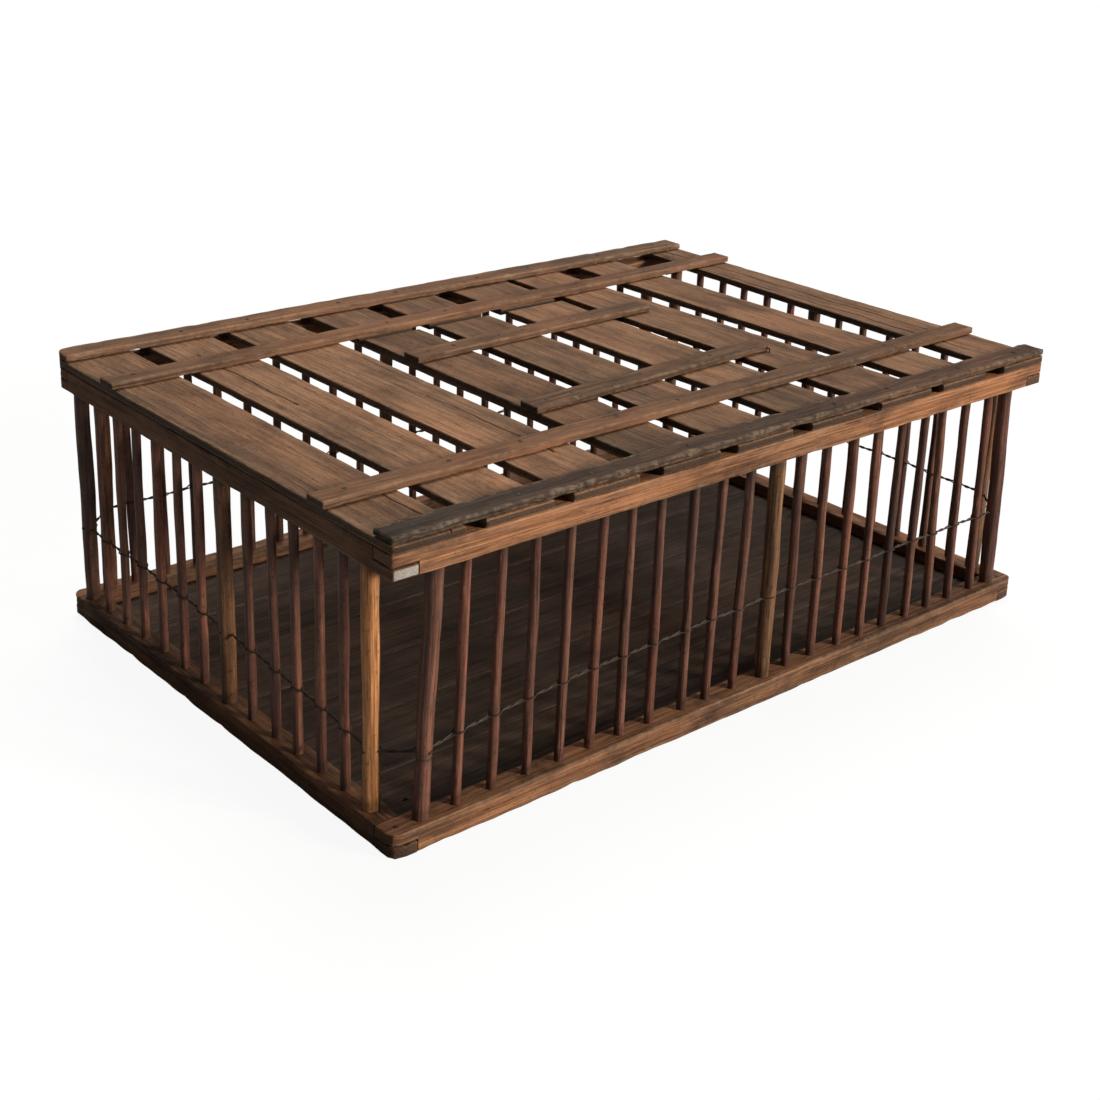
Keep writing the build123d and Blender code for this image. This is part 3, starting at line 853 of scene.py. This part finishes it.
def rail(name, material, corner_wear=None, **choices):
    """A rail of the top or the bottom frame.  corner_wear is as in TIMBER: its corner 1 is the
    upper outer edge, and 2 the lower one."""
    low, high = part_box(name)
    side = name.split("_")[-1]
    height = high.z - low.z
    rabbet = name.startswith("bottom")
    if side in ("front", "back"):
        length = high.x - low.x
        outer, inward = (low.y, Y_AXIS) if side == "front" else (high.y, -Y_AXIS)
        start, end = (low.x, outer, low.z), (high.x, outer, low.z)
        tongue, rabbet_from = "upper", RAIL_WIDTH
    else:
        length = high.y - low.y
        outer, inward = (low.x, X_AXIS) if side == "left" else (high.x, -X_AXIS)
        start, end = (outer, low.y, low.z), (outer, high.y, low.z)
        tongue, rabbet_from = "lower", RAIL_WIDTH - RABBET
    breaks = [RAIL_WIDTH, length - RAIL_WIDTH]
    undercut = RIGHT_RAIL_UNDERCUT if name == "top_rail_right" else 0.0
    if undercut:
        breaks += [SHOULDER, length - SHOULDER]
    if rabbet and rabbet_from != RAIL_WIDTH:
        breaks += [rabbet_from, length - rabbet_from]
    wear = dict(corner_wear or {})
    if rabbet:
        wear.update({corner: CRISP for corner in RABBET_CORNERS})
    section = rail_section(height, tongue, length, rabbet, rabbet_from, undercut)
    timber(name, material, "crate", "rail_wood", start, end, section, inward, breaks=breaks,
           corner_wear=wear, **choices)


def make_frames():
    # The low tones of the left rails, and of the bottom rails at the back and the right, are painted
    # shade: the crate's left end and its inside are darkened.
    rail("top_rail_front", RAIL_WOOD, {1: (1.8 * MM, 2.5 * MM)}, rough=0.8 * MM, dents=20, tone=0.2)
    rail("top_rail_back", RAIL_WOOD, rough=0.8 * MM, tone=-0.1)
    rail("top_rail_left", PALE_ENDED, rough=0.8 * MM, tone=-0.7, grey=0.15)
    rail("top_rail_right", RAIL_WOOD, rough=0.8 * MM, tone=-0.2)
    rail("bottom_rail_front", GRIMY_RAIL, {2: (2 * MM, 2.5 * MM)}, rough=0.9 * MM, dents=20,
         tone=-0.05, grey=0.15)
    rail("bottom_rail_back", GRIMY_RAIL, {2: (2 * MM, 3 * MM)}, rough=0.9 * MM, tone=-0.45)
    rail("bottom_rail_left", GRIMY_RAIL, {2: (3 * MM, 3 * MM)}, rough=1.0 * MM, tone=-0.6, grey=0.3)
    rail("bottom_rail_right", GRIMY_RAIL, {2: (3 * MM, 3 * MM)}, rough=1.0 * MM, tone=-0.45)


CROSS_RAIL_BITE = 0.5 * MM


def make_cross_rails():
    """The rails under the cut planks, which end just inside the frame's front and back rails."""
    reach = HALF_DEPTH - RAIL_WIDTH + CROSS_RAIL_BITE
    for name in ("cross_rail_left", "cross_rail_right"):
        low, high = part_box(name)
        centre = middle_of(low, high)
        # Their low tone is painted shade: the cross rails are darkened as they lie in shade under the
        # narrow gaps.
        timber(name, RAIL_WOOD, "crate", "rail_wood", (centre.x, -reach, centre.z),
               (centre.x, reach, centre.z), plain_section(high.x - low.x, high.z - low.z), X_AXIS,
               tone=-0.5, grey=0.2)


FLOOR_BOARDS = 6
# The knothole in the first floor board: its place from the crate's front left corner, its size
KNOTHOLE_X = 60 * MM
KNOTHOLE_Y = 65 * MM
KNOTHOLE_RADII = (3.2 * MM, 2.4 * MM)


def make_floor():
    for number in range(1, FLOOR_BOARDS + 1):
        name = f"floor_board_{number}"
        low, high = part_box(name)
        centre = middle_of(low, high)
        knot = None
        if number == 1:
            knot = (KNOTHOLE_X - RAIL_WIDTH + RABBET, KNOTHOLE_Y - HALF_DEPTH - centre.y,
                    *KNOTHOLE_RADII)
        timber(name, FLOOR_WOOD, "crate", "floor_wood", (low.x, centre.y, centre.z),
               (high.x, centre.y, centre.z), plain_section(high.y - low.y, high.z - low.z), Y_AXIS,
               rough=0.25 * MM, radius=0.8 * MM, dent=0.8 * MM, step=9 * MM, spacing=9 * MM, knot=knot)


# ---- Dowels and posts ----

# A row's first and last uprights, from its left or front end, and the number of steps between
LONG_ROW = (44 * MM, 2 * HALF_LENGTH - 44 * MM, 21)
END_ROW = (50 * MM, 576 * MM, 13)
ROW_INSET = 14 * MM
DOWEL_RADIUS = 4.75 * MM
POST_RADIUS = 8 * MM
POSTS = {
    "front": {0: "left", 11: "middle", 21: "right"},
    "back": {0: "left", 10: "middle", 21: "right"},
    "left": {0: "front", 6: "middle", 13: "back"},
    "right": {0: "front", 7: "middle", 13: "back"},
}
STICK_FOOT = 22 * MM
STICK_HEADS = {"front": 270 * MM, "back": 270 * MM, "left": 270 * MM, "right": 284 * MM}
# How far the rows at the back and the right have crept as a whole, in millimetres
ROW_CREEP = {"back": -12, "right": -5}

# How far the head and the foot of each upright of the other rows have crept, in millimetres
HEADS = {
    "front": (10, 5, 6, 5, 7, 8, 4, 3, 8, 8, 8, 8, 2, 5, 9, 7, 9, 9, 0, 2, 5, -3),
    "left": (2, 2, 0, 0, -2, 0, 3, 8, 8, 10, 10, 10, 10, 10),
}
FEET = {
    "front": (-4, -4, -2, 1, 2, 1, 1, 2, 8, 3, 3, 9, 7, 7, 11, 10, 9, 11, 11, 11, 14, 8),
    "left": (2, 2, 0, -1, -3, 0, 3, 11, 10, 14, 14, 14, 13, 13),
}


def row_places(side):
    """Foot and head of every upright of a row, from the left or the front."""
    rng = random.Random("lean_" + side)
    long_row = side in ("front", "back")
    first, last, steps = LONG_ROW if long_row else END_ROW
    places = []
    for index in range(steps + 1):
        along = first + (last - first) * index / steps
        if side in HEADS:
            head, foot = HEADS[side][index], FEET[side][index]
        else:
            creep = ROW_CREEP[side] * (0 < index < steps)
            head = creep + rng.uniform(-2, 2)
            foot = creep + rng.uniform(-3, 3)
        ends = []
        for shift, z in ((foot, STICK_FOOT), (head, STICK_HEADS[side])):
            if long_row:
                y = (ROW_INSET - HALF_DEPTH) * (1 if side == "front" else -1)
                ends.append(Vector((along + shift * MM - HALF_LENGTH, y, z)))
            else:
                x = (ROW_INSET - HALF_LENGTH) * (1 if side == "left" else -1)
                ends.append(Vector((x, along + shift * MM - HALF_DEPTH, z)))
        places.append(ends)
    return places


ROW_PLACES = {side: row_places(side) for side in POSTS}
POST_TONES = {"post_left_front": 0.2, "post_front_left": 0.1, "post_front_middle": 0.3,
              "post_front_right": -0.2, "post_left_middle": -0.3}
POST_WOODS = {"post_left_front": HONEY_WOOD, "post_front_left": DOWEL_WOOD,
              "post_front_right": DOWEL_WOOD, "post_left_back": DOWEL_WOOD}
# Height and depth of the grooves round a post
GROOVES = {"post_front_left": ((62 * MM, 0.5 * MM), (66 * MM, 0.3 * MM))}


def make_uprights():
    for side, places in ROW_PLACES.items():
        dowels = Form()
        for index, (foot, head) in enumerate(places):
            rng = random.Random(f"{side}_{index}")
            if index not in POSTS[side]:
                stick(dowels, rng, foot, head, DOWEL_RADIUS, rng.uniform(-0.3, 0.25))
                continue
            name = f"post_{side}_{POSTS[side][index]}"
            tone = POST_TONES.get(name, rng.uniform(-0.3, 0.1))
            form = Form()
            stick(form, rng, foot, head, POST_RADIUS, tone, sides=18, rings=GROOVES.get(name, ()))
            form.piece("worn_" + name, POST_WOODS.get(name, POST_WOOD), "crate", "post_wood", name)
        dowels.piece("worn_dowels_" + side, DOWEL_WOOD, "crate", "dowel_wood", "dowels_" + side)


# ---- Wire belt and staples ----

WIRE_RADIUS = 0.8 * MM
OUTWARD = {"front": -Y_AXIS, "right": X_AXIS, "back": Y_AXIS, "left": -X_AXIS}
# Height of the belt at the start of each row, its settled height, and how soon it settles
BELT_LEVELS = {
    "front": (92 * MM, 117 * MM, 170 * MM),
    "right": (122 * MM, 123 * MM, 200 * MM),
    "back": (121 * MM, 121 * MM, 200 * MM),
    "left": (84 * MM, 112 * MM, 220 * MM),
}
TWIST_STEPS = 26
# The share of each span over which a strand leaves an upright, and where its twist begins
CLASP_SHARE = 0.24
TWIST_FROM = 0.12
BELT_SAG = 1.6 * MM


def belt_stops():
    """Where the belt meets each upright, in order round the crate: place, outward way and reach."""
    rng = random.Random("belt")
    stops = []
    for side, (start, settled, lag) in BELT_LEVELS.items():
        row = []
        for index, (foot, head) in enumerate(ROW_PLACES[side]):
            distance = (foot - ROW_PLACES[side][0][0]).length
            z = settled + (start - settled) * math.exp(-distance / lag) + rng.uniform(-1.2, 1.2) * MM
            share = (z - STICK_FOOT) / (STICK_HEADS[side] - STICK_FOOT)
            at = foot.lerp(head, share)
            radius = POST_RADIUS if index in POSTS[side] else DOWEL_RADIUS
            row.append((Vector((at.x, at.y, z)), OUTWARD[side], radius * 0.97 + WIRE_RADIUS))
        stops += row if side in ("front", "right") else row[::-1]
    return stops


def strand_path(stops, hand):
    """One strand: past each upright on its own side, and round the other strand in between."""
    path = []
    for (here, out, reach), (there, next_out, next_reach) in zip(stops, stops[1:] + stops[:1]):
        for step in range(TWIST_STEPS):
            share = step / TWIST_STEPS
            leaving = max(0.0, 1 - share / CLASP_SHARE)
            arriving = max(0.0, 1 - (1 - share) / CLASP_SHARE)
            clasp = (reach - WIRE_RADIUS) * smooth(leaving)
            clasp += (next_reach - WIRE_RADIUS) * smooth(arriving)
            turn = math.tau * float(smooth((share - TWIST_FROM) / (1 - 2 * TWIST_FROM)))
            way = out.lerp(next_out, share).normalized()
            offset = way * math.cos(turn) + Z_AXIS * math.sin(turn)
            at = here.lerp(there, share) - Z_AXIS * (4 * share * (1 - share) * BELT_SAG)
            path.append(at + offset * hand * (WIRE_RADIUS + float(clasp)))
    return np.array(path)


def make_belt():
    stops = belt_stops()
    for name, hand in (("wire_outer_strand", 1), ("wire_inner_strand", -1)):
        form = Form()
        closed_wire(form, strand_path(stops, hand), WIRE_RADIUS)
        form.piece("twisted_" + name, WIRE, "crate", "fence_wire", name)


def make_staples():
    """The hinge staples stay as the CAD has them, in the wire's material."""
    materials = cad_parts["hinge_staples"].data.materials
    materials.clear()
    materials.append(WIRE)


# ---- Nails ----

# Height and radius of a nail from its shank to the top of its head, in millimetres
NAIL_PROFILE = ((-4.0, 1.1), (-1.1, 1.15), (-1.0, 2.2), (-0.35, 2.45), (-0.1, 2.0), (0.0, 0.9))
NAIL_SIDES = 12
# How far behind its front edge a batten's nails are
NAIL_SETBACKS = {"edge": 15 * MM, "inner": 16.2 * MM, "hatch": 14 * MM}
NAIL_SINK = 0.1 * MM
PLANK_NAIL_OFFSET = 8 * MM
HATCH_NAIL_OFFSET = 18 * MM
CORNER_NAIL_LEVEL = 25 * MM
FLOOR_NAIL_INSET = 24 * MM
FLOOR_NAIL_LEVEL = 0.2 * MM


def nail(form, rng, place, way):
    """A short length of shank and a hammered head; way is the direction that the head faces."""
    angle = np.arange(NAIL_SIDES) * math.tau / NAIL_SIDES
    outline = 1 + 0.07 * np.sin(2 * angle + rng.uniform(0, 6))
    outline = outline + 0.05 * np.sin(3 * angle + rng.uniform(0, 6))
    tilt = rng.uniform(-0.1, 0.1), rng.uniform(-0.1, 0.1)
    rings = []
    for height, radius in NAIL_PROFILE:
        x = radius * MM * outline * np.cos(angle)
        y = radius * MM * outline * np.sin(angle)
        z = (height * MM + (x * tilt[0] + y * tilt[1]) * (height > -2)) * way
        rings.append(np.stack([x, y, z], axis=1) + np.array(place))
    rings = np.array(rings)
    form.add(rings, rings.copy(), np.zeros(rings.shape[:2] + (4,)))


def batten_nail(form, rng, name, x):
    """A nail in a batten, at x."""
    low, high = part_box(name)
    front = low.y + SLANTS.get(name, 0.0) * (x - low.x) / (high.x - low.x)
    nail(form, rng, (x, front + NAIL_SETBACKS[name.split("_")[0]], high.z - NAIL_SINK), 1)


def plank_middle(number, low, high):
    """X of the middle of a plank, halfway along the crate's depth."""
    if number not in TAPERS:
        return (low.x + high.x) / 2
    return sum(sum(pair) for pair in TAPERS[number]) / 4 * MM - HALF_LENGTH


def make_nails():
    rng = random.Random("nails")
    planks = [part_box(f"deck_stub_front_{n}" if n in HATCH_TONES else f"deck_plank_{n}")
              for n in range(1, 10)]
    form = Form()
    for index, (low, high) in enumerate(planks):
        x = plank_middle(index + 1, low, high) + PLANK_NAIL_OFFSET * (1 if index % 2 else -1)
        for name in ("edge_batten_front", "edge_batten_back", "inner_batten_front", "inner_batten_back"):
            batten_nail(form, rng, name, x)
    for x in (ROW_INSET - HALF_LENGTH, HALF_LENGTH - ROW_INSET):
        for y in (ROW_INSET - HALF_DEPTH, HALF_DEPTH - ROW_INSET):
            nail(form, rng, (x, y, CORNER_NAIL_LEVEL), 1)
    for number in range(1, FLOOR_BOARDS + 1):
        low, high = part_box(f"floor_board_{number}")
        for share in (0.3, 0.7):
            for x in (FLOOR_NAIL_INSET - HALF_LENGTH, HALF_LENGTH - FLOOR_NAIL_INSET):
                nail(form, rng, (x, low.y + (high.y - low.y) * share, FLOOR_NAIL_LEVEL), -1)
    form.piece("hammered_frame_nails", IRON, "crate", "nail_iron", "frame_nails")

    form = Form()
    for number in HATCH_TONES:
        x = plank_middle(number, *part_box(f"hatch_board_{number}"))
        for name in ("hatch_batten_front", "hatch_batten_back"):
            for offset in (-HATCH_NAIL_OFFSET, HATCH_NAIL_OFFSET):
                batten_nail(form, rng, name, x + offset)
    form.piece("hammered_hatch_nails", IRON, "hatch", "nail_iron", "hatch_nails")


# ---- Stage ----

GROUND_REACH = 30.0
GROUND_LEVEL = -0.3 * MM


def make_stage():
    """A plain floor, which the camera sees as white and the crate as a duller grey."""
    mesh = bpy.data.meshes.new("ground")
    corners = [(x * GROUND_REACH, y * GROUND_REACH, GROUND_LEVEL)
               for x, y in ((-1, -1), (1, -1), (1, 1), (-1, 1))]
    mesh.from_pydata(corners, [], [(0, 1, 2, 3)])
    ground = bpy.data.objects.new("ground", mesh)
    material, tree, shader = new_material("pale_ground")
    seen = add(tree, "ShaderNodeLightPath").outputs["Is Camera Ray"]
    tree.links.new(mix(tree, seen, (0.3, 0.3, 0.3), (0.08, 0.08, 0.08)), shader.inputs["Base Color"])
    shader.inputs["Emission Color"].default_value = (1, 1, 1, 1)
    tree.links.new(times(tree, seen, 0.92), shader.inputs["Emission Strength"])
    shader.inputs["Roughness"].default_value = 0.95
    shader.inputs["Specular IOR Level"].default_value = 0.0
    mesh.materials.append(material)
    bpy.context.scene.collection.objects.link(ground)


def sun(name, way, strength, softness, colour):
    """A distant lamp; way points towards it, and softness is the angle it fills, in degrees."""
    data = bpy.data.lights.new(name, "SUN")
    data.energy = strength
    data.angle = math.radians(softness)
    data.color = colour
    light = bpy.data.objects.new(name, data)
    light.rotation_euler = (-Vector(way)).to_track_quat("-Z", "Y").to_euler()
    bpy.context.scene.collection.objects.link(light)


def make_lights():
    """A warm sun from the front right, a broad one overhead, and a sky that only looks bright."""
    sun("key", (0.52, -0.85, 0.30), 4.2, 12, (1.0, 0.93, 0.84))
    sun("overhead", (0.35, 0.35, 1.0), 2.4, 30, (1.0, 0.96, 0.9))
    world = bpy.data.worlds.new("studio")
    world.use_nodes = True
    background = world.node_tree.nodes["Background"]
    background.inputs["Color"].default_value = (1, 1, 1, 1)
    seen = add(world.node_tree, "ShaderNodeLightPath").outputs["Is Camera Ray"]
    strength = scaled(world.node_tree, seen, 0, 1, 0.12, 1.0)
    world.node_tree.links.new(strength, background.inputs["Strength"])
    bpy.context.scene.world = world
    bpy.context.scene.view_settings.view_transform = "Standard"


def make_camera():
    data = bpy.data.cameras.new("camera")
    data.lens = CAMERA_LENS
    data.sensor_width = CAMERA_SENSOR
    data.shift_y = CAMERA_SHIFT_Y
    data.clip_start = 0.05
    data.clip_end = 100.0
    camera = bpy.data.objects.new("camera", data)
    azimuth, elevation = math.radians(CAMERA_AZIMUTH), math.radians(CAMERA_ELEVATION)
    back = Vector((math.sin(azimuth) * math.cos(elevation),
                   -math.cos(azimuth) * math.cos(elevation), math.sin(elevation)))
    camera.location = CAMERA_PLACE
    camera.rotation_mode = "QUATERNION"
    level = (-back).to_track_quat("-Z", "Y")
    camera.rotation_quaternion = level @ Quaternion((0, 0, 1), math.radians(CAMERA_ROLL))
    bpy.context.scene.collection.objects.link(camera)
    bpy.context.scene.camera = camera


make_camera()
make_deck()
make_battens()
make_frames()
make_cross_rails()
make_floor()
make_uprights()
make_belt()
make_nails()
make_staples()
make_stage()
make_lights()
